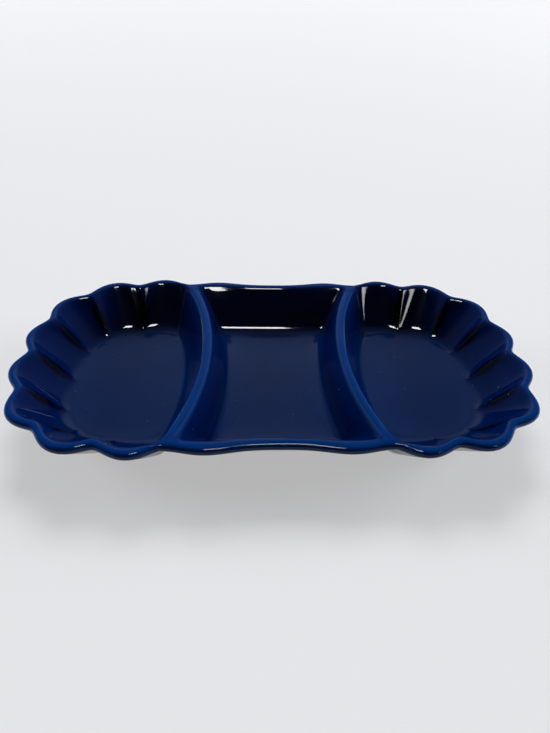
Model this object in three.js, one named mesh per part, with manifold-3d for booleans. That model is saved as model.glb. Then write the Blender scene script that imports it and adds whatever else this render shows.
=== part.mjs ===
// Three-compartment relish dish: one cast stoneware body with two scalloped shell
// ends and a square centre well, under a coat of cobalt-blue glaze.
// Millimetres, +Z up, origin on the table under the middle of the dish.
import * as THREE from 'three';
import { mergeVertices } from 'three/addons/utils/BufferGeometryUtils.js';
import Module from 'manifold-3d';

const wasm = await Module();
wasm.setup();

// Heights, from the rim down to the table
const WELL_DEPTH = 28;
const FLOOR_THICKNESS = 5.6;
const FOOT_HEIGHT = 2.4;

// Plan of each shell end: a swollen half oval whose edge carries the lobes
const SHELL_X = 75.8;
const SHELL_REACH = 90.6;
const SHELL_HALF_WIDTH = 83.8;
const SHELL_SHOULDER = 9;
const SHELL_SPAN = THREE.MathUtils.degToRad(192);
const LOBES = 8;
const SCALLOP = 6.3;
const FLOOR_SCALLOP = 0.6;
const SCALLOP_HOLD = 2.2;
const NOTCH_SOFTNESS = 0.36;

// Plan of the centre section: each long edge has two low lobes and a hollow middle
const EDGE_DIP = 0.5;
const EDGE_LOBE = 3.2;
const EDGE_LEAN = 1.5;
const EDGE_FADE = 16;

// Rim and walls
const RIM_WIDTH = 3.8;
const RIM_ROUND = 3.1;
const LIP_ROUND = 3.2;
const WALL_RUN = 26;
const WALL_COVE = 5.5;
const RIM_CORNER = 6;
const WELL_CORNER = 11;
const SHELL_FLOOR_CORNER = 16;
const CENTRE_FLOOR_CORNER = 7;

// Dividers: bowed toward the middle of the dish, hollow underneath
const DIVIDER_BOW = 20.1;
const DIVIDER_COVE = 5;
const CREST_WIDTH = 2;
const SHELL_DIVIDER_RUN = 19;
const CENTRE_DIVIDER_RUN = 14.5;
const DIVIDER_LAP = 4;

// Foot rings, left bare of glaze
const FOOT_WIDTH = 4;
const FOOT_SETBACK = 2;

// Glaze
const GLAZE = 0.6;
const GLAZE_SEAT = 0.2;

// Facets
const LOBE_STEPS = 6;
const EDGE_STEPS = 10;
const CORNER_STEPS = 3;
const DIVIDER_STEPS = 6;
const LIP_STEPS = 2;
const COVE_STEPS = 2;
const NOSE_STEPS = 3;
const BISECTIONS = 40;

// The lip leaves the rim at this slope, so that each cut crosses the rim cleanly
const LIP_START = THREE.MathUtils.degToRad(10);
const CUT_LEAD = 1.5;

const pitch = SHELL_SPAN / LOBES;
const probe = pitch / 50;
const shellEnd = SHELL_SPAN / 2;
const rimHeight = WELL_DEPTH + FLOOR_THICKNESS + FOOT_HEIGHT;

// A point on the line of the notches, and its outward normal
function notchLine(angle) {
  const swell = SHELL_SHOULDER * Math.sin(2 * angle) ** 2;
  return new THREE.Vector2(
    SHELL_X + (SHELL_REACH + swell) * Math.cos(angle),
    (SHELL_HALF_WIDTH + swell) * Math.sin(angle),
  );
}

function notchNormal(angle) {
  const along = notchLine(angle + probe).sub(notchLine(angle - probe)).normalize();
  return new THREE.Vector2(along.y, -along.x);
}

// 0 in each notch and 1 on the crown of each lobe, with softened notches
function lobe(angle) {
  const wave = Math.sin(Math.PI * (shellEnd - angle) / pitch);
  const soft = Math.hypot(wave, NOTCH_SOFTNESS) - NOTCH_SOFTNESS;
  return soft / (Math.hypot(1, NOTCH_SOFTNESS) - NOTCH_SOFTNESS);
}

function shellEdge(angle, inset, scallop) {
  const reach = scallop * lobe(angle) - inset;
  return notchLine(angle).addScaledVector(notchNormal(angle), reach);
}

// The divider's crest is an arc through the two end notches of the shell
const notch = notchLine(shellEnd);
const crestRadius = (notch.y ** 2 + DIVIDER_BOW ** 2) / (2 * DIVIDER_BOW);
const crestCentre = notch.x - DIVIDER_BOW + crestRadius;

function dividerEdge(y, radius) {
  return new THREE.Vector2(crestCentre - Math.sqrt(radius ** 2 - y ** 2), y);
}

// The long edge of the centre section runs from notch to notch
function centreEdge(x, inset) {
  const share = Math.min(Math.abs(x) / notch.x, 1);
  const left = THREE.MathUtils.clamp(1 - inset / EDGE_FADE, 0, 1);
  const lobes = left * EDGE_LOBE * Math.sin(Math.PI * share ** EDGE_LEAN) ** 2;
  const dip = EDGE_DIP * Math.cos(Math.PI / 2 * share) ** 2;
  return new THREE.Vector2(x, notch.y + lobes - dip - inset);
}

// Where an edge curve, followed from 0 to end, first reaches the divider
function reachDivider(edge, end, beyond) {
  if (!beyond(edge(end))) return end;
  let near = 0;
  let far = end;
  for (let i = 0; i < BISECTIONS; i++) {
    const middle = (near + far) / 2;
    if (beyond(edge(middle))) far = middle;
    else near = middle;
  }
  return near;
}

// A rounded corner from an edge to the divider, without its two ends
function cornerPoints(from, corner, to) {
  const curve = new THREE.QuadraticBezierCurve(from, corner, to);
  return curve.getPoints(CORNER_STEPS).slice(1, -1);
}

function mirrorY(points) {
  return points.map((p) => new THREE.Vector2(p.x, -p.y)).reverse();
}

function mirrorX(points) {
  return points.map((p) => new THREE.Vector2(-p.x, p.y)).reverse();
}

// One level of a shell: its plan outline, anticlockwise, and each point's share of
// the divider's profile (0 on the scalloped wall, 1 on the divider)
function shellOutline(inset, crestInset, corner, scallop) {
  const radius = crestRadius - crestInset;
  const pole = new THREE.Vector2(crestCentre, 0);
  const edge = (angle) => shellEdge(angle, inset, scallop);
  const meet = reachDivider(edge, shellEnd, (p) => p.distanceTo(pole) > radius);
  const meeting = edge(meet);
  const speed = meeting.distanceTo(edge(meet - probe)) / probe;
  const even = shellEnd - pitch;
  const last = Math.max(meet - corner / speed, even + probe);
  const wall = [];
  const evenSteps = Math.ceil(LOBE_STEPS * even / pitch);
  for (let i = 0; i < evenSteps; i++) wall.push(edge(even * i / evenSteps));
  for (let i = 0; i <= LOBE_STEPS; i++) {
    wall.push(edge(even + (last - even) * i / LOBE_STEPS));
  }
  const top = meeting.y - Math.max(corner, DIVIDER_LAP / 2);
  const control = dividerEdge(meeting.y, radius).lerp(meeting, 1 / 2);
  const bend = cornerPoints(wall.at(-1), control, dividerEdge(top, radius));
  const divider = [];
  for (let i = 0; i <= DIVIDER_STEPS; i++) {
    divider.push(dividerEdge(top * (1 - 2 * i / DIVIDER_STEPS), radius));
  }
  const half = [...wall, ...bend];
  const points = [...half, ...divider, ...mirrorY(half.slice(1))];
  const bendShares = bend.map((_, i) => (i + 1) / CORNER_STEPS);
  const halfShares = [...wall.map(() => 0), ...bendShares];
  const shares = [...halfShares, ...divider.map(() => 1), ...halfShares.slice(1).reverse()];
  return { points, shares };
}

// One level of the centre section, in the same form
function centreOutline(inset, crestInset, corner) {
  const radius = crestRadius + crestInset;
  const pole = new THREE.Vector2(crestCentre, 0);
  const edge = (x) => centreEdge(x, inset);
  const meet = reachDivider(edge, notch.x, (p) => p.distanceTo(pole) < radius);
  const meeting = edge(meet);
  const last = meet - corner;
  const long = [];
  for (let i = 0; i <= EDGE_STEPS; i++) long.push(edge(last * (1 - 2 * i / EDGE_STEPS)));
  const top = meeting.y - Math.max(corner, DIVIDER_LAP / 2);
  const control = dividerEdge(meeting.y, radius).lerp(meeting, 1 / 2);
  const bend = cornerPoints(dividerEdge(top, radius), control, long[0]);
  const right = [];
  for (let i = 0; i < DIVIDER_STEPS - 1; i++) {
    right.push(dividerEdge(top * (2 * (i + 1) / DIVIDER_STEPS - 1), radius));
  }
  const quarter = [dividerEdge(top, radius), ...bend];
  const farSide = [...quarter, ...long, ...mirrorX(quarter)];
  const left = mirrorX(right);
  const points = [...right, ...farSide, ...left, ...mirrorX(mirrorY(farSide))];
  const quarterShares = [1, ...bend.map((_, i) => 1 - (i + 1) / CORNER_STEPS)];
  const farShares = [...quarterShares, ...long.map(() => 0), ...quarterShares.slice().reverse()];
  const dividerShares = right.map(() => 1);
  const shares = [...dividerShares, ...farShares, ...dividerShares, ...farShares];
  return { points, shares };
}

// Inside of a wall from the rim edge to the floor: a lip, a straight slope and a cove.
// Depth under the glaze surface moves the profile into the clay.
function insideProfile(run, cove, depth) {
  const fall = WELL_DEPTH - LIP_ROUND - cove;
  const slope = Math.atan2(fall, run) + Math.asin((LIP_ROUND + cove) / Math.hypot(run, fall));
  const lip = LIP_ROUND - depth;
  const profile = [];
  for (let i = 0; i <= LIP_STEPS; i++) {
    const turn = THREE.MathUtils.lerp(LIP_START, slope, i / LIP_STEPS);
    profile.push({ inset: lip * Math.sin(turn), drop: LIP_ROUND - lip * Math.cos(turn) });
  }
  const lead = {
    inset: profile[0].inset - CUT_LEAD * Math.cos(LIP_START),
    drop: profile[0].drop - CUT_LEAD * Math.sin(LIP_START),
  };
  const above = { inset: lead.inset, drop: -rimHeight };
  for (let i = 0; i <= COVE_STEPS; i++) {
    const turn = slope * (1 - i / COVE_STEPS);
    profile.push({
      inset: run - (cove + depth) * Math.sin(turn),
      drop: WELL_DEPTH - cove + (cove + depth) * Math.cos(turn),
    });
  }
  return [above, lead, ...profile];
}

// Outside of a wall from the top of the rim to the underside: a round nose, a
// straight slope and a cove that follows the one inside
function outsideProfile(land, run, cove, depth) {
  const centre = new THREE.Vector2(land + run, WELL_DEPTH - cove);
  const across = centre.clone().subScalar(RIM_ROUND);
  const bend = cove + FLOOR_THICKNESS;
  const slope = across.angle() + Math.asin((bend - RIM_ROUND) / across.length());
  const nose = RIM_ROUND - depth;
  const profile = [];
  for (let i = 0; i <= NOSE_STEPS; i++) {
    const turn = THREE.MathUtils.lerp(Math.PI / 2, slope - Math.PI / 2, i / NOSE_STEPS);
    profile.push({
      inset: RIM_ROUND - nose * Math.cos(turn),
      drop: RIM_ROUND - nose * Math.sin(turn),
    });
  }
  for (let i = 0; i <= COVE_STEPS; i++) {
    const turn = slope * (1 - i / COVE_STEPS);
    profile.push({
      inset: centre.x - (bend - depth) * Math.sin(turn),
      drop: centre.y + (bend - depth) * Math.cos(turn),
    });
  }
  return profile;
}

// A closed skin over levels listed from the top down
function loft(levels) {
  const count = levels[0].length;
  const positions = levels.flat().flatMap((p) => [p.x, p.y, p.z]);
  const index = [];
  for (let level = 0; level < levels.length - 1; level++) {
    for (let i = 0; i < count; i++) {
      const next = (i + 1) % count;
      const upper = level * count;
      const lower = upper + count;
      index.push(lower + i, lower + next, upper + next);
      index.push(lower + i, upper + next, upper + i);
    }
  }
  const flat = (level) => level.map((p) => new THREE.Vector2(p.x, p.y));
  const bottom = (levels.length - 1) * count;
  for (const [a, b, c] of THREE.ShapeUtils.triangulateShape(flat(levels[0]), [])) {
    index.push(a, b, c);
  }
  for (const [a, b, c] of THREE.ShapeUtils.triangulateShape(flat(levels.at(-1)), [])) {
    index.push(bottom + a, bottom + c, bottom + b);
  }
  const geometry = new THREE.BufferGeometry();
  geometry.setAttribute('position', new THREE.Float32BufferAttribute(positions, 3));
  geometry.setIndex(index);
  return geometry;
}

// Levels of a compartment from its wall profile and its divider profile
function compartment(outline, wall, divider, wallOffset, dividerOffset, corners) {
  const run = wall.at(-1).inset;
  return loft(wall.map((step, i) => {
    const share = THREE.MathUtils.clamp(step.inset / run, 0, 1);
    const corner = THREE.MathUtils.lerp(...corners, share);
    const scallop = THREE.MathUtils.lerp(SCALLOP, FLOOR_SCALLOP, share ** SCALLOP_HOLD);
    const inset = step.inset + wallOffset;
    const level = outline(inset, divider[i].inset + dividerOffset, corner, scallop);
    return level.points.map((p, k) => {
      const drop = THREE.MathUtils.lerp(step.drop, divider[i].drop, level.shares[k]);
      return new THREE.Vector3(p.x, p.y, rimHeight - drop);
    });
  }));
}

function well(outline, dividerRun, floorCorner, depth) {
  const wall = insideProfile(WALL_RUN, WALL_COVE, depth);
  const divider = insideProfile(dividerRun, DIVIDER_COVE, depth);
  const corners = [WELL_CORNER, floorCorner];
  return compartment(outline, wall, divider, RIM_WIDTH, CREST_WIDTH / 2, corners);
}

function casing(outline, dividerRun, floorCorner, depth) {
  const lap = DIVIDER_LAP + CREST_WIDTH / 2;
  const wall = outsideProfile(RIM_WIDTH, WALL_RUN, WALL_COVE, depth);
  const divider = outsideProfile(lap, dividerRun, DIVIDER_COVE, depth);
  const corners = [RIM_CORNER, floorCorner];
  return compartment(outline, wall, divider, 0, -DIVIDER_LAP, corners);
}

// A foot ring under the floor of a compartment, grown all round by a clearance
function footRing(outline, dividerRun, floorCorner, clearance) {
  const ring = (inset) => outline(
    RIM_WIDTH + WALL_RUN + inset,
    CREST_WIDTH / 2 + dividerRun + inset,
    floorCorner,
    FLOOR_SCALLOP,
  ).points;
  const shape = new THREE.Shape(ring(FOOT_SETBACK - clearance));
  shape.holes.push(new THREE.Path(ring(FOOT_SETBACK + FOOT_WIDTH + clearance)));
  const depth = FOOT_HEIGHT + FLOOR_THICKNESS / 2;
  return new THREE.ExtrudeGeometry(shape, { depth, bevelEnabled: false });
}

function solid(geometry) {
  const bare = geometry.clone();
  bare.deleteAttribute('normal');
  bare.deleteAttribute('uv');
  const merged = mergeVertices(bare);
  return new wasm.Manifold(new wasm.Mesh({
    numProp: 3,
    vertProperties: merged.attributes.position.array,
    triVerts: new Uint32Array(merged.index.array),
  }));
}

// Right shell, centre and left shell, joined
function threeOf(make) {
  const shell = make(shellOutline, SHELL_DIVIDER_RUN, SHELL_FLOOR_CORNER);
  const centre = make(centreOutline, CENTRE_DIVIDER_RUN, CENTRE_FLOOR_CORNER);
  const opposite = shell.clone().rotateZ(Math.PI);
  return solid(shell).add(solid(centre)).add(solid(opposite));
}

// The whole dish without its feet, at a depth under the glaze surface
function dish(depth) {
  const outside = threeOf((...sizes) => casing(...sizes, depth));
  const wells = threeOf((...sizes) => well(...sizes, depth));
  return outside.subtract(wells);
}

function piece(name, body, colour, roughness) {
  const { vertProperties, triVerts } = body.getMesh();
  const geometry = new THREE.BufferGeometry();
  geometry.setAttribute('position', new THREE.Float32BufferAttribute(vertProperties, 3));
  geometry.setIndex([...triVerts]);
  geometry.computeVertexNormals();
  const material = new THREE.MeshStandardMaterial({ color: colour, roughness, metalness: 0 });
  const mesh = new THREE.Mesh(geometry, material);
  mesh.name = name;
  return mesh;
}

// Clay: the cast body with its three foot rings
const feet = threeOf((...sizes) => footRing(...sizes, 0));
const clay = dish(GLAZE + GLAZE_SEAT).add(feet);

// Glaze: one skin over the body. The bare foot rings part it into the coat and the
// three patches that they enclose.
const skin = dish(0).subtract(dish(GLAZE));
const glaze = skin.subtract(threeOf((...sizes) => footRing(...sizes, GLAZE_SEAT)));
const parts = glaze.decompose().sort((a, b) => b.volume() - a.volume());
const middleX = (body) => body.boundingBox().min[0] + body.boundingBox().max[0];
const patches = parts.slice(1).sort((a, b) => middleX(a) - middleX(b));

const BLUE = 0x0d2a66;
const CLAY = 0xd9cbb2;
const GLOSS = 0.08;
const BARE = 0.85;
const relishDish = new THREE.Group();
relishDish.add(piece('stoneware_body', clay, CLAY, BARE));
relishDish.add(piece('blue_glaze_coat', parts[0], BLUE, GLOSS));
const patchNames = ['left_base_glaze', 'centre_base_glaze', 'right_base_glaze'];
patchNames.forEach((name, i) => relishDish.add(piece(name, patches[i], BLUE, GLOSS)));

export default relishDish;
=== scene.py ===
import math

import bmesh
import bpy
import numpy as np
from mathutils import Matrix, Vector
from mathutils.kdtree import KDTree


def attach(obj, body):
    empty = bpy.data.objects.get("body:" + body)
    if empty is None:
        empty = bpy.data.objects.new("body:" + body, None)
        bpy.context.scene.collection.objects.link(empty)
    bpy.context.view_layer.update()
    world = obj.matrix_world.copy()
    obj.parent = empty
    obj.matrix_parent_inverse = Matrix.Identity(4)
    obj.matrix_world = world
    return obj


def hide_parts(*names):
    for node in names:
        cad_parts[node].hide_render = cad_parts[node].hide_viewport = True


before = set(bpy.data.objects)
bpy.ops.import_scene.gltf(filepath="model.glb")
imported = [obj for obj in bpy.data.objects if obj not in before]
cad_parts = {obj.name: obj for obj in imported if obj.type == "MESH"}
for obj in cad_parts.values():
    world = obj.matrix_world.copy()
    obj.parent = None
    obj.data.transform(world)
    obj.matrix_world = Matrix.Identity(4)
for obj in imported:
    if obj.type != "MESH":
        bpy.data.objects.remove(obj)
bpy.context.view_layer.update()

# Sizes of the dish in millimetres
MM = 0.001
WELL_DEPTH = 28.0
FLOOR_THICKNESS = 5.6
FOOT_HEIGHT = 2.4
RIM_HEIGHT = WELL_DEPTH + FLOOR_THICKNESS + FOOT_HEIGHT
BASE_DROP = WELL_DEPTH + FLOOR_THICKNESS

# Plan of each shell end
SHELL_X = 75.8
SHELL_REACH = 90.59
SHELL_HALF_WIDTH = 83.65
SHELL_SHOULDER = 9.0
SHELL_SPAN = math.radians(192)
SHELL_END = SHELL_SPAN / 2
LOBES = 8
PITCH = SHELL_SPAN / LOBES
PROBE = PITCH / 200

# Form of the lobes: round notches at the rim, sharp ridges where the lobes die away
LOBE_HEIGHT = 6.3
LOBE_POWER = 2.0
LOBE_HOLD = 1.1
FLOOR_LOBE = 0.06
NOTCH_SOFTNESS = 0.30
RIDGE_POWER = 3.4
RIDGE_ONSET = 1.5

# Plan of the centre section's long edges
EDGE_DIP = 0.5
EDGE_LOBE = 3.2
EDGE_LEAN = 1.5
EDGE_FADE = 16.0

# Rim, walls and floors
RIM_WIDTH = 3.8
RIM_ROUND = 3.1
LIP_ROUND = 3.2
WALL_RUN = 26.0
WALL_COVE = 8.5
WALL_CORNER = 11.0
SHELL_FLOOR_CORNER = 16.0
CENTRE_FLOOR_CORNER = 7.0
FLOOR_SAG = 0.7
FLOOR_DISH = 6.0

# Dividers, hollow underneath up to a groove below the crest
DIVIDER_BOW = 20.1
DIVIDER_COVE = 5.0
CREST_WIDTH = 2.0
SHELL_DIVIDER_RUN = 19.0
CENTRE_DIVIDER_RUN = 14.5
CENTRE_FLATTEN = 5.0
GROOVE_DROP = 11.4
GROOVE_LAP = 4.0
GROOVE_HALF_WIDTH = 0.5
CREASE_ROUND = 9.0
CREASE_FADE = 4

# Foot rings and glaze
FOOT_WIDTH = 4.0
FOOT_SETBACK = 2.0
FOOT_ROUND = 0.6
GLAZE = 0.6
GLAZE_SEAT = 0.2

# Where the glaze lies thin: on the rim and the crests, and less and less down the outside
THIN_FULL = -1.5
THIN_FADE = 4.0
THIN_WEB = 4.0
THIN_EDGE = 0.55
OUTSIDE_THIN = 3.0
OUTSIDE_THIN_FADE = 6.0
PATCH_THIN = 0.3

# Painted shade: darker down the steep faces and on the dividers, and painted dark reflections in leaves
# along both flanks of each ridge
WALL_SHADE = 0.5
WALL_SHADE_FADE = 0.15
DIVIDER_SHADE = 0.6
RIDGE_SHADE = 1.0
RIDGE_SHADE_WIDTH = 0.36
RIDGE_SHADE_EDGE = 0.15

# Painted highlight: a pale line beside the crests, fading out by the rim
HIGHLIGHT_AT = 1.2
HIGHLIGHT_WIDTH = 0.55
HIGHLIGHT_FADE = 8.0

# Colours of the finishes, and their grain in millimetres
GLAZE_DEEP = "#002156"
GLAZE_THIN = "#003276"
# Painted shade colours: a deeper blue for the steep faces and dividers, near black for the painted dark
# reflections beside the ridges
PAINTED_SHADE_BLUE = "#000D3C"
PAINTED_SHADE_BLACK = "#000314"
# Painted highlight colour, and its share, for the pale lines beside the crests
PAINTED_HIGHLIGHT_BLUE = "#1E4E96"
GLAZE_SPECK = "#7A8CB4"
HIGHLIGHT_SHARE = 0.42
CLOUD_SIZE = 25.0
CLOUD_RANGE = (0.3, 0.7)
CLOUD_SHARE = 0.12
SPECK_GAP = 9.0
SPECK_SIZE = 0.4
PEEL_SIZE = 7.0
PEEL_DEPTH = 0.12
PEEL_STRENGTH = 0.25
GLAZE_ROUGHNESS = 0.06
GLAZE_IOR = 1.5
GLAZE_GLOSS = 0.5
THIN_GLAZE_GLOSS = 0.17
CLAY_DARK = "#B9A486"
CLAY_PALE = "#D8C8AB"
CLAY_TONE_SIZE = 6.0
CLAY_ROUGHNESS = 0.85
GROG_SIZE = 0.8
GROG_DEPTH = 0.15
GROG_STRENGTH = 0.5

# Mesh steps
LOBE_STEPS = 20
LOBE_CROWD = 0.75
EDGE_STEPS = 40
CORNER_STEPS = 8
DIVIDER_STEPS = 48
NOSE_STEPS = 5
LIP_STEPS = 8
SLOPE_STEPS = 8
COVE_STEPS = 10
FINE_STEPS = 60
UNDER_NOSE_STEPS = 4
UNDER_SLOPE_STEPS = 7
UNDER_COVE_STEPS = 7
FOOT_STEPS = 3
FLOOR_RINGS = 14
BASE_SHARES = (0.8, 0.55, 0.3)
PATCH_EDGE = 0.985
SMOOTH_ANGLE = math.radians(60)

# Searches: samples along the outline, rounds, and lengths in millimetres that count as none
SHELL_SAMPLES = 3000
EDGE_SAMPLES = 1000
BISECTIONS = 50
SETTLE = 12
SNAP = 0.08
WELD = 0.01
TINY = 1e-6

# Camera at the photograph's view: turned round the dish, raised and rolled
VIEW_YAW = math.radians(3.20)
VIEW_RISE = math.radians(41.64)
VIEW_ROLL = math.radians(-2.14)
VIEW_DISTANCE = 334.84
VIEW_AIM = (0.39, -16.76)
VIEW_LENS = 510 / 733
VIEW_SENSOR = 36

# Studio in metres: a pale floor, and a dim room with a glow behind the dish
FLOOR_REACH = 40.0
FLOOR_COLOUR = "#A8A8AC"
FLOOR_ROUGHNESS = 0.9
FLOOR_LIFT = 0.45
ROOM_COLOUR = "#E6F2FF"
ROOM_FRONT = 0.012
ROOM_BACK = 0.09
ROOM_TURN = (-0.35, 0.1)
GLOW = 0.34
GLOW_HALF_ANGLE = 0.8
GLOW_TOP = (0.5, 0.9)
GLOW_FOOT = (0.3, 0.5)
GLOW_LOW = 0.3
RIGHT_BACK_WALL = (0.106, 0.074, 0.03)
LEFT_BACK_WALL = (-0.109, 0.075, 0.032)


def linear(hex_colour):
    """An sRGB hex colour as linear RGBA."""
    parts = [int(hex_colour[i:i + 2], 16) / 255 for i in (1, 3, 5)]
    levels = [p / 12.92 if p <= 0.04045 else ((p + 0.055) / 1.055) ** 2.4 for p in parts]
    return (*levels, 1.0)


def add(tree, kind, settings=None, inputs=None):
    """Adds a node, sets its properties, and sets its inputs or links them to nodes or sockets."""
    node = tree.nodes.new(kind)
    for name, value in (settings or {}).items():
        setattr(node, name, value)
    for key, value in (inputs or {}).items():
        if isinstance(value, bpy.types.Node):
            value = value.outputs[0]
        if isinstance(value, bpy.types.NodeSocket):
            tree.links.new(value, node.inputs[key])
        else:
            node.inputs[key].default_value = value
    return node


# Plan curves of the dish

def notch_line(angle):
    """The line through a shell's notches, at a fan angle from its tip."""
    swell = SHELL_SHOULDER * np.sin(2 * angle) ** 2
    x = SHELL_X + (SHELL_REACH + swell) * np.cos(angle)
    return np.stack([x, (SHELL_HALF_WIDTH + swell) * np.sin(angle)], -1)


def notch_normal(angle):
    """The outward way across that line."""
    along = notch_line(angle + PROBE) - notch_line(angle - PROBE)
    along /= np.linalg.norm(along, axis=-1, keepdims=True)
    return np.stack([along[..., 1], -along[..., 0]], -1)


def shell_edge(angle, inset):
    """A shell's edge without its lobes, at an inset from the notches."""
    angle = np.asarray(angle, float)
    return notch_line(angle) - notch_normal(angle) * inset


NOTCH = notch_line(np.array(SHELL_END))
CREST_RADIUS = (NOTCH[1] ** 2 + DIVIDER_BOW ** 2) / (2 * DIVIDER_BOW)


def centre_edge(x, inset, lobe=EDGE_LOBE):
    """The centre section's back edge, whose two low lobes fade with the inset."""
    x = np.asarray(x, float)
    share = np.minimum(np.abs(x) / NOTCH[0], 1)
    lobes = lobe * np.sin(np.pi * share ** EDGE_LEAN) ** 2 * np.clip(1 - inset / EDGE_FADE, 0, 1)
    dip = EDGE_DIP * np.cos(np.pi / 2 * share) ** 2
    return np.stack([x, NOTCH[1] + lobes - dip - inset], -1)


def divider_arc(inset):
    """Middle and radius of the divider's arc, inset from the crest towards the centre section.

    Towards the shells the arcs share one middle. Towards the centre they flatten out.
    """
    radius = CREST_RADIUS + inset * np.where(inset > 0, CENTRE_FLATTEN, 1)
    return NOTCH[0] - DIVIDER_BOW - inset + radius, radius


def divider_edge(y, inset):
    """Points on that arc of the right divider."""
    y = np.asarray(y, float)
    middle, radius = divider_arc(inset)
    return np.stack([middle - np.sqrt(radius ** 2 - y ** 2), y], -1)


def reach_divider(edge, end, beyond):
    """Where an edge curve, followed from 0 to end, first reaches the divider."""
    if not beyond(edge(end)):
        return end
    near, far = 0.0, end
    for _ in range(BISECTIONS):
        middle = (near + far) / 2
        if beyond(edge(middle)):
            far = middle
        else:
            near = middle
    return near


def bend(start, control, finish):
    """A rounded corner without its two ends."""
    t = np.linspace(0, 1, CORNER_STEPS + 1)[1:-1, None]
    return (1 - t) ** 2 * start + 2 * t * (1 - t) * control + t ** 2 * finish


def spread(count):
    """From 1 to -1, closer together towards both ends."""
    return np.cos(np.linspace(0, np.pi, count + 1))


def crowded(count):
    """From 0 to 1, closer together towards both ends."""
    even = np.linspace(0, 1, count + 1)
    return even - LOBE_CROWD * np.sin(2 * np.pi * even) / (2 * np.pi)


def shell_ring(inset, crest_inset, corner):
    """One level of a shell, anticlockwise from its tip: plan, fan angle and outward way."""
    meet = reach_divider(lambda t: shell_edge(t, inset), SHELL_END,
                         lambda p: p[0] < divider_edge(p[1], -crest_inset)[0])
    meeting = shell_edge(meet, inset)
    speed = np.linalg.norm(meeting - shell_edge(meet - PROBE, inset)) / PROBE
    even = SHELL_END - PITCH
    last = max(meet - corner / speed, even + PROBE)
    lobe = crowded(LOBE_STEPS)
    fan = [(i + lobe[:-1]) * PITCH for i in range(LOBES // 2 - 1)]
    fan = np.concatenate([*fan, even + (last - even) * lobe])
    wall = shell_edge(fan, inset)
    top = meeting[1] - corner
    control = (meeting + divider_edge(meeting[1], -crest_inset)) / 2
    turn = bend(wall[-1], control, divider_edge(top, -crest_inset))
    turn_fan = np.linspace(last, SHELL_END, CORNER_STEPS + 1)[1:-1]
    half = np.concatenate([wall, turn])
    half_fan = np.concatenate([fan, turn_fan])
    divider = divider_edge(top * spread(DIVIDER_STEPS), -crest_inset)
    points = np.concatenate([half, divider, half[:0:-1] * [1, -1]])
    fans = np.concatenate([half_fan, np.full(len(divider), SHELL_END), -half_fan[:0:-1]])
    return points, fans, notch_normal(fans)


def centre_ring(inset, crest_inset, corner):
    """One level of the centre section, anticlockwise, in the same form and with no fan."""
    meet = reach_divider(lambda x: centre_edge(x, inset), float(NOTCH[0]),
                         lambda p: p[0] > divider_edge(p[1], crest_inset)[0])
    meeting = centre_edge(meet, inset)
    top = meeting[1] - corner
    edge = centre_edge((meet - corner) * spread(EDGE_STEPS), inset)
    control = (meeting + divider_edge(meeting[1], crest_inset)) / 2
    right = divider_edge(top * -spread(DIVIDER_STEPS), crest_inset)
    turn = bend(right[-1], control, edge[0])
    half = np.concatenate([right, turn, edge, turn[::-1] * [-1, 1]])
    points = np.concatenate([half, -half])
    fans = np.full(len(points), SHELL_END)
    return points, fans, np.zeros_like(points)


def outline_tree(lobe):
    """Nearest-point search over the dish's outline, without the shells' lobes."""
    shell = notch_line(np.linspace(-SHELL_END, SHELL_END, SHELL_SAMPLES))
    edge = centre_edge(np.linspace(-NOTCH[0], NOTCH[0], EDGE_SAMPLES), 0, lobe)
    points = np.concatenate([shell, -shell, edge, -edge])
    tree = KDTree(len(points))
    for i, (x, y) in enumerate(points):
        tree.insert((x, y, 0), i)
    tree.balance()
    return tree


OUTLINE = outline_tree(EDGE_LOBE)
PLAIN_OUTLINE = outline_tree(0.0)


def insets(points, shell):
    """Each point's distance inside the outline, and its distance from the crest line."""
    outer = np.array([OUTLINE.find((x, y, 0))[2] for x, y in points])
    plain = np.array([PLAIN_OUTLINE.find((x, y, 0))[2] for x, y in points])
    outer = plain + (outer - plain) * np.clip(1 - outer / EDGE_FADE, 0, 1)
    outer = np.where(outer < SNAP, 0.0, outer)
    place = points if shell else np.abs(points)
    crest = divider_edge(place[:, 1], 0.0)[:, 0] - place[:, 0]
    for _ in range(SETTLE):
        crest = crest + divider_edge(place[:, 1], crest)[:, 0] - place[:, 0]
    return outer, np.maximum(-crest if shell else crest, 0)


# Profiles: drop below the rim against inset

def inside_profile(run, cove, lip_round, lip_steps=LIP_STEPS, cove_steps=COVE_STEPS):
    """The inside of a wall: a rounded lip, a straight slope and a cove to the floor."""
    fall = WELL_DEPTH - lip_round - cove
    slope = math.atan2(fall, run) + math.asin((lip_round + cove) / math.hypot(run, fall))
    lip = np.linspace(0, slope, lip_steps + 1)
    foot = np.linspace(slope, 0, cove_steps + 1)
    lip_part = np.stack([lip_round * np.sin(lip), lip_round * (1 - np.cos(lip))], -1)
    foot_part = np.stack([run - cove * np.sin(foot), WELL_DEPTH - cove + cove * np.cos(foot)], -1)
    slope_part = np.linspace(lip_part[-1], foot_part[0], SLOPE_STEPS + 1)[1:-1]
    return np.concatenate([lip_part, slope_part, foot_part])


def outside_profile(land, run, cove, start):
    """The underside of a wall from a given inset, under the rim's nose, to the base."""
    centre = np.array([land + run, WELL_DEPTH - cove])
    across = centre - RIM_ROUND
    big = cove + FLOOR_THICKNESS
    slope = math.atan2(across[1], across[0]) + math.asin((big - RIM_ROUND) / np.hypot(*across))
    nose = np.linspace(0, slope - math.pi / 2, UNDER_NOSE_STEPS + 1)
    foot = np.linspace(slope, 0, UNDER_COVE_STEPS + 1)
    nose_part = RIM_ROUND - RIM_ROUND * np.stack([np.cos(nose), np.sin(nose)], -1)
    foot_part = centre + big * np.stack([-np.sin(foot), np.cos(foot)], -1)
    slope_part = np.linspace(nose_part[-1], foot_part[0], UNDER_SLOPE_STEPS + 1)[1:-1]
    profile = np.concatenate([nose_part, slope_part, foot_part])
    profile[:, 0] -= start
    return profile


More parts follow.
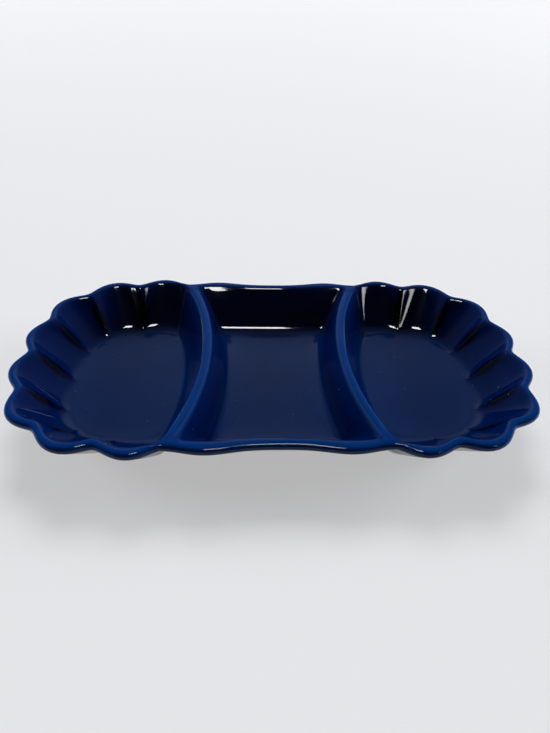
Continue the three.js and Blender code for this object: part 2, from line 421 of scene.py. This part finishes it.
def soft_lower(first, second, full):
    """The lesser of two drops, rounded where they cross but not on the floor."""
    width = CREASE_ROUND * (1 - (np.minimum(first, second) / full) ** CREASE_FADE) + TINY
    mix = np.clip(0.5 + 0.5 * (second - first) / width, 0, 1)
    return second * (1 - mix) + first * mix - width * mix * (1 - mix)


def nose_drop(outer):
    """The drop of the rim's rounded nose at a distance inside the outline."""
    reach = np.clip(RIM_ROUND - outer, 0, RIM_ROUND)
    return RIM_ROUND - np.sqrt(RIM_ROUND ** 2 - reach ** 2)


def lobe_fade(share):
    """How much of the lobes is left at a share of the way down the wall."""
    return 1 - (1 - FLOOR_LOBE) * np.clip(share, 0, 1) ** LOBE_HOLD


# How the glaze lies on the inside, with the shade and highlight lines painted on it

def thin_glaze(outer, crest):
    """How thin it lies: 1 on the rim and the crests, 0 down in the wells."""
    near = np.stack([outer - RIM_WIDTH, crest - CREST_WIDTH / 2])
    rim = -THIN_WEB * np.log(np.exp(-near / THIN_WEB).sum(0))
    return np.clip(1 - (rim - THIN_FULL) / THIN_FADE, 0, 1)


def painted_shade_share(shell, fans, down, face, on_wall):
    """Painted shade: how dark the walls, the leaves beside a shell's ridges and the dividers are painted,
    for shade and dark reflections.
    """
    from_ridge = 2 * np.abs(np.mod((SHELL_END - fans) / PITCH + 0.5, 1) - 0.5)
    leaf = RIDGE_SHADE_WIDTH * np.sin(np.pi * np.clip(down, 0, 1))
    beside = np.clip((leaf - from_ridge) / RIDGE_SHADE_EDGE, 0, 1)
    slope = np.clip(np.minimum(down, 1 - down) / WALL_SHADE_FADE, 0, 1)
    wall = np.maximum(WALL_SHADE * slope, RIDGE_SHADE * shell * beside)
    divider = DIVIDER_SHADE * np.sin(np.pi * np.clip(face, 0, 1))
    return wall * on_wall + divider * (1 - on_wall)


def painted_highlight_line(outer, crest):
    """Where a pale highlight line is painted along the edges of the crests."""
    from_rim = np.clip((outer - RIM_WIDTH) / HIGHLIGHT_FADE, 0, 1)
    return from_rim * np.exp(-((crest - CREST_WIDTH / 2 - HIGHLIGHT_AT) / HIGHLIGHT_WIDTH) ** 2)


# Levels of a compartment, each with all that the node tree and the glaze need at its points

def level(shell, outer_inset, crest_inset):
    """One level's plan, fan angles, outward ways and insets."""
    ring = shell_ring if shell else centre_ring
    floor_corner = SHELL_FLOOR_CORNER if shell else CENTRE_FLOOR_CORNER
    share = np.clip(outer_inset / (RIM_WIDTH + WALL_RUN), 0, 1)
    rim_share = np.clip(outer_inset / RIM_WIDTH, 0, 1)
    corner = WALL_CORNER * rim_share + (floor_corner - WALL_CORNER) * share
    points, fans, ways = ring(outer_inset, crest_inset, corner)
    return points, fans, ways, *insets(points, shell)


def wall_row(points, fans, ways, drop, down, **glaze):
    """A level's row. Fan angles lose their sign, so that welding the halves can't mix them."""
    return dict(points=points, z=RIM_HEIGHT - drop, fan=np.abs(fans), way=ways,
                fade=lobe_fade(down), soft=np.clip(1 - down, 0, 1) ** RIDGE_ONSET,
                bury=np.ones(len(points)), **glaze)


def upper_rows(shell, run):
    """The levels of the inside, from the nose of the rim to the floor."""
    half_crest = CREST_WIDTH / 2
    wall_in = inside_profile(WALL_RUN, WALL_COVE, LIP_ROUND)
    wall_in[:, 0] += RIM_WIDTH
    crest_in = inside_profile(run + half_crest, DIVIDER_COVE, LIP_ROUND + half_crest,
                              FINE_STEPS, FINE_STEPS)
    crest_slope = inside_profile(run, DIVIDER_COVE, LIP_ROUND)[:, 0] + half_crest
    nose = RIM_ROUND * (1 - np.cos(np.linspace(0, np.pi / 2, NOSE_STEPS + 1)))
    land = np.concatenate([nose, [(RIM_ROUND + RIM_WIDTH) / 2]])
    outer_insets = np.concatenate([land, wall_in[:, 0]])
    crest_insets = np.concatenate([half_crest * land / RIM_WIDTH, crest_slope])
    rows = []
    for outer_inset, crest_inset in zip(outer_insets, crest_insets):
        points, fans, ways, outer, crest = level(shell, outer_inset, crest_inset)
        wall = np.interp(outer, wall_in[:, 0], wall_in[:, 1])
        divider = np.interp(crest, crest_in[:, 0], crest_in[:, 1])
        drop = np.maximum(nose_drop(outer), soft_lower(wall, divider, WELL_DEPTH))
        on_wall = np.clip(0.5 + 0.5 * (divider - wall) / CREASE_ROUND, 0, 1)
        down = (outer - RIM_WIDTH) / WALL_RUN
        # Painted shade and painted highlight lines go to the shader with the thin glaze
        deep = painted_shade_share(shell, fans, down, (crest - half_crest) / run, on_wall)
        rows.append(wall_row(points, fans, ways, drop, down, deep=deep,
                             thin=thin_glaze(outer, crest), breaks=painted_highlight_line(outer, crest)))
    return rows


def lower_rows(shell, run):
    """The levels of the outside, from under the nose of the rim to the base."""
    wall_out = outside_profile(RIM_WIDTH, WALL_RUN, WALL_COVE, 0)
    crest_out = outside_profile(GROOVE_LAP + CREST_WIDTH / 2, run, DIVIDER_COVE, GROOVE_LAP)
    keep = crest_out[:, 0] > GROOVE_HALF_WIDTH
    crest_out = np.concatenate([[[0, GROOVE_DROP]], crest_out[keep]])
    share = np.linspace(0, 1, len(wall_out))
    crest_insets = np.interp(share, np.linspace(0, 1, len(crest_out)), crest_out[:, 0])
    rows = []
    for outer_inset, crest_inset in zip(wall_out[:, 0], crest_insets):
        points, fans, ways, outer, crest = level(shell, outer_inset, crest_inset)
        wall = np.interp(outer, wall_out[:, 0], wall_out[:, 1])
        divider = np.interp(crest, crest_out[:, 0], crest_out[:, 1])
        drop = np.where(outer > 0, soft_lower(wall, divider, BASE_DROP), RIM_ROUND)
        thin = np.clip(1 - (drop - OUTSIDE_THIN) / OUTSIDE_THIN_FADE, 0, 1)
        none = np.zeros(len(points))
        rows.append(wall_row(points, fans, ways, drop, outer / (RIM_WIDTH + WALL_RUN),
                             deep=none, thin=thin, breaks=none))
    return rows


SHELL_ROWS = upper_rows(True, SHELL_DIVIDER_RUN), lower_rows(True, SHELL_DIVIDER_RUN)
CENTRE_ROWS = upper_rows(False, CENTRE_DIVIDER_RUN), lower_rows(False, CENTRE_DIVIDER_RUN)
COMPARTMENTS = ((True, 1, *SHELL_ROWS), (True, -1, *SHELL_ROWS), (False, 1, *CENTRE_ROWS))

# Mesh attributes by the rows' keys, among them the painted shade and the painted highlight lines
ATTRIBUTES = {"fan": "fan_angle", "fade": "fan_fade", "soft": "notch_fade", "thin": "glaze_thin",
              "deep": "painted_shade_mask", "breaks": "painted_highlight_mask", "bury": "bury"}


class Skin:
    """Rings of points, joined into one surface, with what the node tree needs at each point."""

    def __init__(self):
        self.rows = []
        self.faces = []
        self.count = 0

    def ring(self, points, z, turn=1, row=None, thin=0.0, bury=1.0):
        """Adds one ring, turned half round where turn is -1, and returns its indices."""
        size = len(points)
        plain = dict(fan=np.full(size, SHELL_END), way=np.zeros((size, 2)), fade=np.zeros(size),
                     soft=np.ones(size), thin=np.full(size, thin), deep=np.zeros(size),
                     breaks=np.zeros(size), bury=np.full(size, bury))
        row = row or plain
        fields = {key: row[key] for key in ATTRIBUTES}
        place = np.column_stack([points * turn, np.broadcast_to(z, size)])
        self.rows.append(dict(fields, place=place, way=row["way"] * turn))
        self.count += size
        return np.arange(self.count - size, self.count)

    def bridge(self, outer, inner, up):
        """Faces between two rings, looking up, or down and out."""
        for a, b, c, d in zip(outer, np.roll(outer, -1), np.roll(inner, -1), inner):
            self.faces.append((a, b, c, d) if up else (d, c, b, a))

    def close(self, ring, up):
        """Faces from the last ring to its middle point."""
        middle = np.mean(self.rows[-1]["place"], axis=0)
        pole = self.ring(middle[None, :2], middle[2])
        for a, b in zip(ring, np.roll(ring, -1)):
            self.faces.append((a, b, pole[0]) if up else (b, a, pole[0]))

    def mesh(self, name):
        """The surface in metres, with coincident points merged."""
        stack = {key: np.concatenate([row[key] for row in self.rows]) for key in self.rows[0]}
        mesh = bpy.data.meshes.new(name)
        mesh.from_pydata((stack["place"] * MM).tolist(), [], [tuple(map(int, f)) for f in self.faces])
        for key, attribute in ATTRIBUTES.items():
            layer = mesh.attributes.new(attribute, "FLOAT", "POINT")
            layer.data.foreach_set("value", np.ascontiguousarray(stack[key], np.float32))
        way = np.column_stack([stack["way"], np.zeros(self.count)])
        layer = mesh.attributes.new("fan_way", "FLOAT_VECTOR", "POINT")
        layer.data.foreach_set("vector", way.astype(np.float32).ravel())
        work = bmesh.new()
        work.from_mesh(mesh)
        bmesh.ops.remove_doubles(work, verts=work.verts, dist=WELD * MM)
        bmesh.ops.dissolve_degenerate(work, edges=work.edges, dist=WELD * MM)
        work.to_mesh(mesh)
        work.free()
        return mesh


def shrink(points, share):
    """A ring drawn in towards its middle."""
    middle = points.mean(0)
    return middle + (points - middle) * share


def foot_plan(shell, inset):
    """A ring under the floor, at an inset from the floor's edge."""
    ring = shell_ring if shell else centre_ring
    run = SHELL_DIVIDER_RUN if shell else CENTRE_DIVIDER_RUN
    corner = SHELL_FLOOR_CORNER if shell else CENTRE_FLOOR_CORNER
    return ring(RIM_WIDTH + WALL_RUN + inset, CREST_WIDTH / 2 + run + inset, corner)[0]


def lay_rows(skin, rows, turn, up):
    """Adds a wall's levels, joined to one another, and returns the last."""
    last = None
    for row in rows:
        here = skin.ring(row["points"], row["z"], turn, row)
        if last is not None:
            skin.bridge(last, here, up)
        last = here
    return last


def lay_walls(skin, footed):
    """Adds the insides, the outsides and the underside of all three compartments."""
    for shell, turn, upper, lower in COMPARTMENTS:
        last = lay_rows(skin, upper, turn, True)
        edge = upper[-1]
        for share in np.cos(np.linspace(0, np.pi / 2, FLOOR_RINGS + 1))[1:-1]:
            sag = FLOOR_SAG * (1 - share ** FLOOR_DISH)
            here = skin.ring(shrink(edge["points"], share), edge["z"] - sag, turn)
            skin.bridge(last, here, True)
            last = here
        skin.close(last, True)
        last = lay_rows(skin, lower, turn, False)
        seat = FOOT_SETBACK - (0 if footed else GLAZE_SEAT)
        here = skin.ring(foot_plan(shell, seat), FOOT_HEIGHT, turn)
        skin.bridge(last, here, False)
        if footed:
            lay_foot(skin, shell, turn, here)


def lay_foot(skin, shell, turn, last):
    """Adds a foot ring's sides and sole, and the clay inside the ring."""
    quarter = np.linspace(0, np.pi / 2, FOOT_STEPS + 1)
    outer = FOOT_SETBACK + FOOT_ROUND * (1 - np.cos(quarter))
    outer_z = FOOT_ROUND * (1 - np.sin(quarter))
    inner = FOOT_SETBACK + FOOT_WIDTH - FOOT_ROUND * (1 - np.cos(quarter[::-1]))
    profile = [(FOOT_SETBACK, FOOT_HEIGHT), *zip(outer, outer_z), *zip(inner, outer_z[::-1]),
               (FOOT_SETBACK + FOOT_WIDTH, FOOT_HEIGHT)]
    for inset, z in profile:
        here = skin.ring(foot_plan(shell, inset), z, turn, bury=0.0)
        skin.bridge(last, here, False)
        last = here
    edge = foot_plan(shell, FOOT_SETBACK + FOOT_WIDTH + GLAZE_SEAT)
    for share in (1.0, *BASE_SHARES):
        here = skin.ring(shrink(edge, share), FOOT_HEIGHT, turn)
        skin.bridge(last, here, False)
        last = here
    skin.close(last, False)


def patch_skin(shell, turn):
    """The glaze inside a foot ring: a flat patch with a rounded edge."""
    skin = Skin()
    edge = foot_plan(shell, FOOT_SETBACK + FOOT_WIDTH + GLAZE_SEAT)
    for up in (False, True):
        face_z = FOOT_HEIGHT + (GLAZE if up else 0.0)
        last = skin.ring(edge, FOOT_HEIGHT + GLAZE / 2, turn, thin=PATCH_THIN)
        for share in (PATCH_EDGE, *BASE_SHARES):
            here = skin.ring(shrink(edge, share), face_z, turn, thin=PATCH_THIN)
            skin.bridge(last, here, up)
            last = here
        skin.close(last, up)
    return skin


def scalloped_fan_tree():
    """Node tree: pushes the walls out into a fan of lobes, then draws them in under a glaze."""
    tree = bpy.data.node_groups.new("scalloped_fan", "GeometryNodeTree")
    face = tree.interface
    face.new_socket("Geometry", in_out="INPUT", socket_type="NodeSocketGeometry")
    for name in ("Lobes", "Fan span", "Lobe height", "Notch softness", "Ridge power", "Depth under glaze"):
        face.new_socket(name, in_out="INPUT", socket_type="NodeSocketFloat")
    for name in ("Finish", "Edge finish"):
        face.new_socket(name, in_out="INPUT", socket_type="NodeSocketMaterial")
    face.new_socket("Geometry", in_out="OUTPUT", socket_type="NodeSocketGeometry")
    given = add(tree, "NodeGroupInput").outputs
    span = given["Fan span"]
    attribute = "GeometryNodeInputNamedAttribute"
    angle = add(tree, attribute, {"data_type": "FLOAT"}, {"Name": "fan_angle"})
    fade = add(tree, attribute, {"data_type": "FLOAT"}, {"Name": "fan_fade"})
    sharp = add(tree, attribute, {"data_type": "FLOAT"}, {"Name": "notch_fade"})
    bury = add(tree, attribute, {"data_type": "FLOAT"}, {"Name": "bury"})
    way = add(tree, attribute, {"data_type": "FLOAT_VECTOR"}, {"Name": "fan_way"})

    # A lobe is an arc between two notches, 0 in the notch and 1 on its crown,
    # and the notch sharpens into a ridge as the lobes die away
    calc = "ShaderNodeMath"
    soft = add(tree, calc, {"operation": "MULTIPLY"}, {0: given["Notch softness"], 1: sharp})
    half = add(tree, calc, {"operation": "MULTIPLY"}, {0: span, 1: 0.5})
    from_end = add(tree, calc, {"operation": "SUBTRACT"}, {0: half, 1: angle})
    pitch = add(tree, calc, {"operation": "DIVIDE"}, {0: span, 1: given["Lobes"]})
    half_pitch = add(tree, calc, {"operation": "MULTIPLY"}, {0: pitch, 1: 0.5})
    from_notch = add(tree, calc, {"operation": "PINGPONG"}, {0: from_end, 1: half_pitch})
    way_up = add(tree, calc, {"operation": "DIVIDE"}, {0: from_notch, 1: half_pitch})
    up_square = add(tree, calc, {"operation": "MULTIPLY"}, {0: way_up, 1: way_up})
    soft_square = add(tree, calc, {"operation": "MULTIPLY"}, {0: soft, 1: soft})
    round_square = add(tree, calc, {"operation": "ADD"}, {0: up_square, 1: soft_square})
    rounded = add(tree, calc, {"operation": "SQRT"}, {0: round_square})
    rise = add(tree, calc, {"operation": "SUBTRACT"}, {0: rounded, 1: soft})
    most_square = add(tree, calc, {"operation": "ADD"}, {0: soft_square, 1: 1.0})
    most = add(tree, calc, {"operation": "SQRT"}, {0: most_square})
    most_rise = add(tree, calc, {"operation": "SUBTRACT"}, {0: most, 1: soft})
    climb = add(tree, calc, {"operation": "DIVIDE"}, {0: rise, 1: most_rise})
    left = add(tree, calc, {"operation": "SUBTRACT"}, {0: 1.0, 1: climb})
    power = add(tree, "ShaderNodeMapRange", None,
                {0: sharp, 3: given["Ridge power"], 4: LOBE_POWER})
    hollow = add(tree, calc, {"operation": "POWER"}, {0: left, 1: power})
    lobe = add(tree, calc, {"operation": "SUBTRACT"}, {0: 1.0, 1: hollow})
    faded = add(tree, calc, {"operation": "MULTIPLY"}, {0: lobe, 1: fade})
    reach = add(tree, calc, {"operation": "MULTIPLY"}, {0: faded, 1: given["Lobe height"]})
    push = add(tree, "ShaderNodeVectorMath", {"operation": "SCALE"}, {0: way, "Scale": reach})
    fanned = add(tree, "GeometryNodeSetPosition", None,
                 {"Geometry": given["Geometry"], "Offset": push})

    # Clay lies under the glaze, so its skin is drawn in along its normals
    depth = add(tree, calc, {"operation": "MULTIPLY"}, {0: given["Depth under glaze"], 1: bury})
    inward = add(tree, calc, {"operation": "MULTIPLY"}, {0: depth, 1: -1.0})
    facing = add(tree, "GeometryNodeInputNormal")
    draw = add(tree, "ShaderNodeVectorMath", {"operation": "SCALE"}, {0: facing, "Scale": inward})
    drawn = add(tree, "GeometryNodeSetPosition", None, {"Geometry": fanned, "Offset": draw})
    real = add(tree, "GeometryNodeRealizeInstances", None, {"Geometry": drawn})

    # Thin glaze has a finish of its own
    finish = add(tree, "GeometryNodeSetMaterial", None,
                 {"Geometry": real, "Material": given["Finish"]})
    thin = add(tree, attribute, {"data_type": "FLOAT"}, {"Name": "glaze_thin"})
    starved = add(tree, calc, {"operation": "GREATER_THAN"}, {0: thin, 1: THIN_EDGE})
    edged = add(tree, "GeometryNodeSetMaterial", None,
                {"Geometry": finish, "Selection": starved, "Material": given["Edge finish"]})
    add(tree, "NodeGroupOutput", None, {"Geometry": edged})
    return tree


FAN = scalloped_fan_tree()


def fired(name, skin, finish, edge_finish, depth=0.0, wall=0.0):
    """Makes a piece of a skin: fans it out, gives it its thickness, and keeps the plain mesh."""
    raw = bpy.data.objects.new(name + "_raw", skin.mesh(name + "_raw"))
    bpy.context.scene.collection.objects.link(raw)
    fan = raw.modifiers.new("fan", "NODES")
    fan.node_group = FAN
    given = {"Lobes": float(LOBES), "Fan span": SHELL_SPAN, "Lobe height": LOBE_HEIGHT * MM,
             "Notch softness": NOTCH_SOFTNESS, "Ridge power": RIDGE_POWER,
             "Depth under glaze": depth * MM, "Finish": finish, "Edge finish": edge_finish}
    for item in FAN.interface.items_tree:
        if item.in_out == "INPUT" and item.name in given:
            fan[item.identifier] = given[item.name]
    if wall:
        shell = raw.modifiers.new("glaze", "SOLIDIFY")
        shell.thickness = wall * MM
        shell.offset = -1
    view = bpy.context.evaluated_depsgraph_get()
    mesh = bpy.data.meshes.new_from_object(raw.evaluated_get(view), depsgraph=view,
                                           preserve_all_data_layers=True)
    bpy.data.objects.remove(raw)
    mesh.name = name
    mesh.shade_smooth()
    mesh.set_sharp_from_angle(angle=SMOOTH_ANGLE)
    piece = bpy.data.objects.new(name, mesh)
    bpy.context.scene.collection.objects.link(piece)
    return piece


def cobalt_glaze(name, gloss):
    """Cobalt-blue glaze fired to a gloss: deep where it is thick, brighter blue where it thins, with
    painted shade and painted highlight lines on it.
    """
    material = bpy.data.materials.new(name)
    material.use_nodes = True
    tree = material.node_tree
    shader = tree.nodes["Principled BSDF"]
    place = add(tree, "ShaderNodeTexCoord").outputs["Object"]
    thin = add(tree, "ShaderNodeAttribute", {"attribute_name": "glaze_thin"}).outputs["Fac"]

    # The melt clouded unevenly, and is lighter on the edges
    pooling = add(tree, "ShaderNodeTexNoise", None,
                  {"Vector": place, "Scale": 1 / (CLOUD_SIZE * MM), "Detail": 3.0})
    cloud = add(tree, "ShaderNodeMapRange", None,
                {0: pooling.outputs[0], 1: CLOUD_RANGE[0], 2: CLOUD_RANGE[1],
                 3: -CLOUD_SHARE, 4: CLOUD_SHARE})
    lighter = add(tree, "ShaderNodeMath", {"operation": "ADD", "use_clamp": True}, {0: thin, 1: cloud})
    blue = add(tree, "ShaderNodeMix", {"data_type": "RGBA"},
               {0: lighter, 6: linear(GLAZE_DEEP), 7: linear(GLAZE_THIN)})

    # Painted shade: the steep faces and the dividers are painted a deeper blue, and the leaves beside the
    # ridges near black as painted dark reflections
    depth = add(tree, "ShaderNodeAttribute", {"attribute_name": "painted_shade_mask"}).outputs["Fac"]
    run = add(tree, "ShaderNodeMapRange", None, {0: depth, 1: 0.0, 2: DIVIDER_SHADE})
    steep = add(tree, "ShaderNodeMix", {"data_type": "RGBA"},
                {0: run, 6: blue.outputs[2], 7: linear(PAINTED_SHADE_BLUE)})
    dark_share = add(tree, "ShaderNodeMapRange", None, {0: depth, 1: DIVIDER_SHADE, 2: RIDGE_SHADE})
    darkened = add(tree, "ShaderNodeMix", {"data_type": "RGBA"},
                 {0: dark_share, 6: steep.outputs[2], 7: linear(PAINTED_SHADE_BLACK)})

    # Painted highlight: a thin pale line along both edges of each divider's crest
    line = add(tree, "ShaderNodeAttribute", {"attribute_name": "painted_highlight_mask"}).outputs["Fac"]
    highlight_line = add(tree, "ShaderNodeMath", {"operation": "MULTIPLY"}, {0: line, 1: HIGHLIGHT_SHARE})
    edged = add(tree, "ShaderNodeMix", {"data_type": "RGBA"},
                {0: highlight_line, 6: darkened.outputs[2], 7: linear(PAINTED_HIGHLIGHT_BLUE)})

    # Sparse pale specks, under half a millimetre, where bubbles broke in the melt
    grain = add(tree, "ShaderNodeTexVoronoi", None, {"Vector": place, "Scale": 1 / (SPECK_GAP * MM)})
    speck = add(tree, "ShaderNodeMapRange", None,
                {0: grain.outputs["Distance"], 1: SPECK_SIZE / SPECK_GAP, 2: 0.0, 3: 0.0, 4: 1.0})
    specked = add(tree, "ShaderNodeMix", {"data_type": "RGBA"},
                  {0: speck, 6: edged.outputs[2], 7: linear(GLAZE_SPECK)})
    tree.links.new(specked.outputs[2], shader.inputs["Base Color"])

    # Orange peel of a fired glaze
    peel = add(tree, "ShaderNodeTexNoise", None,
               {"Vector": place, "Scale": 1 / (PEEL_SIZE * MM), "Detail": 1.0, "Roughness": 0.4})
    bump = add(tree, "ShaderNodeBump", None,
               {"Strength": PEEL_STRENGTH, "Distance": PEEL_DEPTH * MM, "Height": peel})
    tree.links.new(bump.outputs[0], shader.inputs["Normal"])
    shader.inputs["Roughness"].default_value = GLAZE_ROUGHNESS
    shader.inputs["IOR"].default_value = GLAZE_IOR
    shader.inputs["Specular IOR Level"].default_value = gloss
    return material


def bare_stoneware():
    """Bare fired stoneware: pale buff, dry and matt, with fine sandy grog."""
    material = bpy.data.materials.new("bare_stoneware")
    material.use_nodes = True
    tree = material.node_tree
    shader = tree.nodes["Principled BSDF"]
    place = add(tree, "ShaderNodeTexCoord").outputs["Object"]
    tone = add(tree, "ShaderNodeTexNoise", None,
               {"Vector": place, "Scale": 1 / (CLAY_TONE_SIZE * MM), "Detail": 4.0})
    buff = add(tree, "ShaderNodeMix", {"data_type": "RGBA"},
               {0: tone.outputs[0], 6: linear(CLAY_DARK), 7: linear(CLAY_PALE)})
    grog = add(tree, "ShaderNodeTexNoise", None,
               {"Vector": place, "Scale": 1 / (GROG_SIZE * MM), "Detail": 2.0})
    bump = add(tree, "ShaderNodeBump", None,
               {"Strength": GROG_STRENGTH, "Distance": GROG_DEPTH * MM, "Height": grog})
    tree.links.new(buff.outputs[2], shader.inputs["Base Color"])
    tree.links.new(bump.outputs[0], shader.inputs["Normal"])
    shader.inputs["Roughness"].default_value = CLAY_ROUGHNESS
    return material


# The pieces of the dish

glaze = cobalt_glaze("cobalt_blue_glaze", GLAZE_GLOSS)
edge_glaze = cobalt_glaze("cobalt_blue_glaze_thin", THIN_GLAZE_GLOSS)
clay = bare_stoneware()

coat_skin = Skin()
lay_walls(coat_skin, False)
coat = fired("glaze_coat", coat_skin, glaze, edge_glaze, wall=GLAZE)
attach(coat, "root")
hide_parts("blue_glaze_coat")

body_skin = Skin()
lay_walls(body_skin, True)
body = fired("clay_body", body_skin, clay, clay, depth=GLAZE + GLAZE_SEAT)
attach(body, "root")
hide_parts("stoneware_body")

PATCHES = (("right_base_patch", "right_base_glaze", True, 1),
           ("left_base_patch", "left_base_glaze", True, -1),
           ("centre_base_patch", "centre_base_glaze", False, 1))
for name, node, shell, turn in PATCHES:
    patch = fired(name, patch_skin(shell, turn), glaze, glaze)
    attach(patch, "root")
    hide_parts(node)


def photo_camera():
    """The camera of the photograph, aimed in the plane of the rim."""
    across = Vector((math.cos(VIEW_YAW), -math.sin(VIEW_YAW), 0))
    away = Vector((math.sin(VIEW_YAW), math.cos(VIEW_YAW), 0))
    ahead = away * math.cos(VIEW_RISE) - Vector((0, 0, math.sin(VIEW_RISE)))
    raised = away * math.sin(VIEW_RISE) + Vector((0, 0, math.cos(VIEW_RISE)))
    right = across * math.cos(VIEW_ROLL) - raised * math.sin(VIEW_ROLL)
    up = across * math.sin(VIEW_ROLL) + raised * math.cos(VIEW_ROLL)
    aim = across * VIEW_AIM[0] + away * VIEW_AIM[1] + Vector((0, 0, RIM_HEIGHT))
    place = (aim - ahead * VIEW_DISTANCE) * MM
    data = bpy.data.cameras.new("camera")
    data.sensor_width = VIEW_SENSOR
    data.lens = data.sensor_width * VIEW_LENS
    camera = bpy.data.objects.new("camera", data)
    camera.matrix_world = Matrix((
        (right.x, up.x, -ahead.x, place.x),
        (right.y, up.y, -ahead.y, place.y),
        (right.z, up.z, -ahead.z, place.z),
        (0, 0, 0, 1)))
    bpy.context.scene.collection.objects.link(camera)
    bpy.context.scene.camera = camera


def lamp(name, azimuth, elevation, distance, width, height, radiance,
         mirrored=True, lit=True, aim=(0, 0, 0), beam=None):
    """A soft lamp that faces its aim, its azimuth counted from behind the dish to the right.

    A beam in degrees keeps its light to one part of the dish, as a grid over the lamp does.
    """
    high = math.radians(elevation)
    turn = math.radians(azimuth)
    way = Vector((math.sin(turn) * math.cos(high), math.cos(turn) * math.cos(high), math.sin(high)))
    data = bpy.data.lights.new(name, "AREA")
    data.shape = "RECTANGLE"
    data.size = width
    data.size_y = height
    data.energy = radiance * math.pi * width * height
    if beam:
        half = math.radians(beam)
        data.spread = 2 * half
        data.energy *= 1 - half / math.tan(half)
    light = bpy.data.objects.new(name, data)
    light.location = Vector(aim) + way * distance
    light.rotation_euler = (-way).to_track_quat("-Z", "Y").to_euler()
    light.visible_glossy = mirrored
    light.visible_diffuse = lit
    bpy.context.scene.collection.objects.link(light)


def dim_room():
    """World: a dim room, darker in front, with a soft glow above the floor behind the dish."""
    world = bpy.data.worlds.new("studio")
    world.use_nodes = True
    tree = world.node_tree
    toward = add(tree, "ShaderNodeTexCoord").outputs["Generated"]
    split = add(tree, "ShaderNodeSeparateXYZ", None, {0: toward})
    smooth = {"interpolation_type": "SMOOTHSTEP"}
    room = add(tree, "ShaderNodeMapRange", smooth,
               {0: split.outputs["Y"], 1: ROOM_TURN[0], 2: ROOM_TURN[1], 3: ROOM_FRONT, 4: ROOM_BACK})
    turned = add(tree, "ShaderNodeMath", {"operation": "ARCTAN2"},
                 {0: split.outputs["X"], 1: split.outputs["Y"]})
    side = add(tree, "ShaderNodeMath", {"operation": "ABSOLUTE"}, {0: turned})
    facing = add(tree, "ShaderNodeMapRange", smooth,
                 {0: side, 1: 0.0, 2: GLOW_HALF_ANGLE, 3: 1.0, 4: 0.0})
    height = add(tree, "ShaderNodeMapRange", smooth,
                 {0: split.outputs["Z"], 1: GLOW_TOP[0], 2: GLOW_TOP[1], 3: GLOW, 4: 0.0})
    foot = add(tree, "ShaderNodeMapRange", smooth,
               {0: split.outputs["Z"], 1: GLOW_FOOT[0], 2: GLOW_FOOT[1], 3: GLOW_LOW, 4: 1.0})
    band = add(tree, "ShaderNodeMath", {"operation": "MULTIPLY"}, {0: height, 1: foot})
    glow = add(tree, "ShaderNodeMath", {"operation": "MULTIPLY"}, {0: facing, 1: band})
    strength = add(tree, "ShaderNodeMath", {"operation": "ADD"}, {0: room, 1: glow})
    tree.links.new(strength.outputs[0], tree.nodes["Background"].inputs["Strength"])
    tree.nodes["Background"].inputs["Color"].default_value = linear(ROOM_COLOUR)
    bpy.context.scene.world = world


def pale_floor():
    """Matt pale floor, lifted towards white where it is seen, mirrored or seen through."""
    corners = [(-FLOOR_REACH, -FLOOR_REACH, 0), (FLOOR_REACH, -FLOOR_REACH, 0),
               (FLOOR_REACH, FLOOR_REACH, 0), (-FLOOR_REACH, FLOOR_REACH, 0)]
    mesh = bpy.data.meshes.new("floor")
    mesh.from_pydata(corners, [], [(0, 1, 2, 3)])
    floor = bpy.data.objects.new("floor", mesh)
    bpy.context.scene.collection.objects.link(floor)
    paint = bpy.data.materials.new("pale_floor")
    paint.use_nodes = True
    tree = paint.node_tree
    shader = tree.nodes["Principled BSDF"]
    shader.inputs["Base Color"].default_value = linear(FLOOR_COLOUR)
    shader.inputs["Roughness"].default_value = FLOOR_ROUGHNESS
    shader.inputs["Emission Color"].default_value = (1, 1, 1, 1)
    path = add(tree, "ShaderNodeLightPath").outputs
    straight = add(tree, "ShaderNodeMath", {"operation": "MAXIMUM"},
                   {0: path["Is Camera Ray"], 1: path["Is Glossy Ray"]})
    through = add(tree, "ShaderNodeMath", {"operation": "MAXIMUM"},
                  {0: straight, 1: path["Is Transmission Ray"]})
    lift = add(tree, "ShaderNodeMath", {"operation": "MULTIPLY"}, {0: through, 1: FLOOR_LIFT})
    tree.links.new(lift.outputs[0], shader.inputs["Emission Strength"])
    mesh.materials.append(paint)


def studio():
    """Large soft lamps that only light the dish, and small ones that are only mirrored in it."""
    dim_room()
    pale_floor()
    lamp("key", azimuth=0, elevation=47, distance=6.0, width=3.0, height=2.0, radiance=13.0,
         mirrored=False)
    lamp("right_side", azimuth=76, elevation=15, distance=4.0, width=2.0, height=1.2, radiance=18.5,
         mirrored=False)
    lamp("left_side", azimuth=-70, elevation=15, distance=4.0, width=2.0, height=1.2, radiance=12.0,
         mirrored=False)
    lamp("front_window", azimuth=-177, elevation=63, distance=1.6, width=0.34, height=0.42,
         radiance=22.0, lit=False)
    lamp("right_window", azimuth=136, elevation=32, distance=0.8, width=0.2, height=0.17,
         radiance=12.0, lit=False, aim=RIGHT_BACK_WALL, beam=12)
    lamp("left_lamp", azimuth=-132.5, elevation=28, distance=2.0, width=0.12, height=0.1,
         radiance=30.0, lit=False, aim=LEFT_BACK_WALL, beam=5)


photo_camera()
studio()
bpy.context.scene.view_settings.view_transform = "Standard"
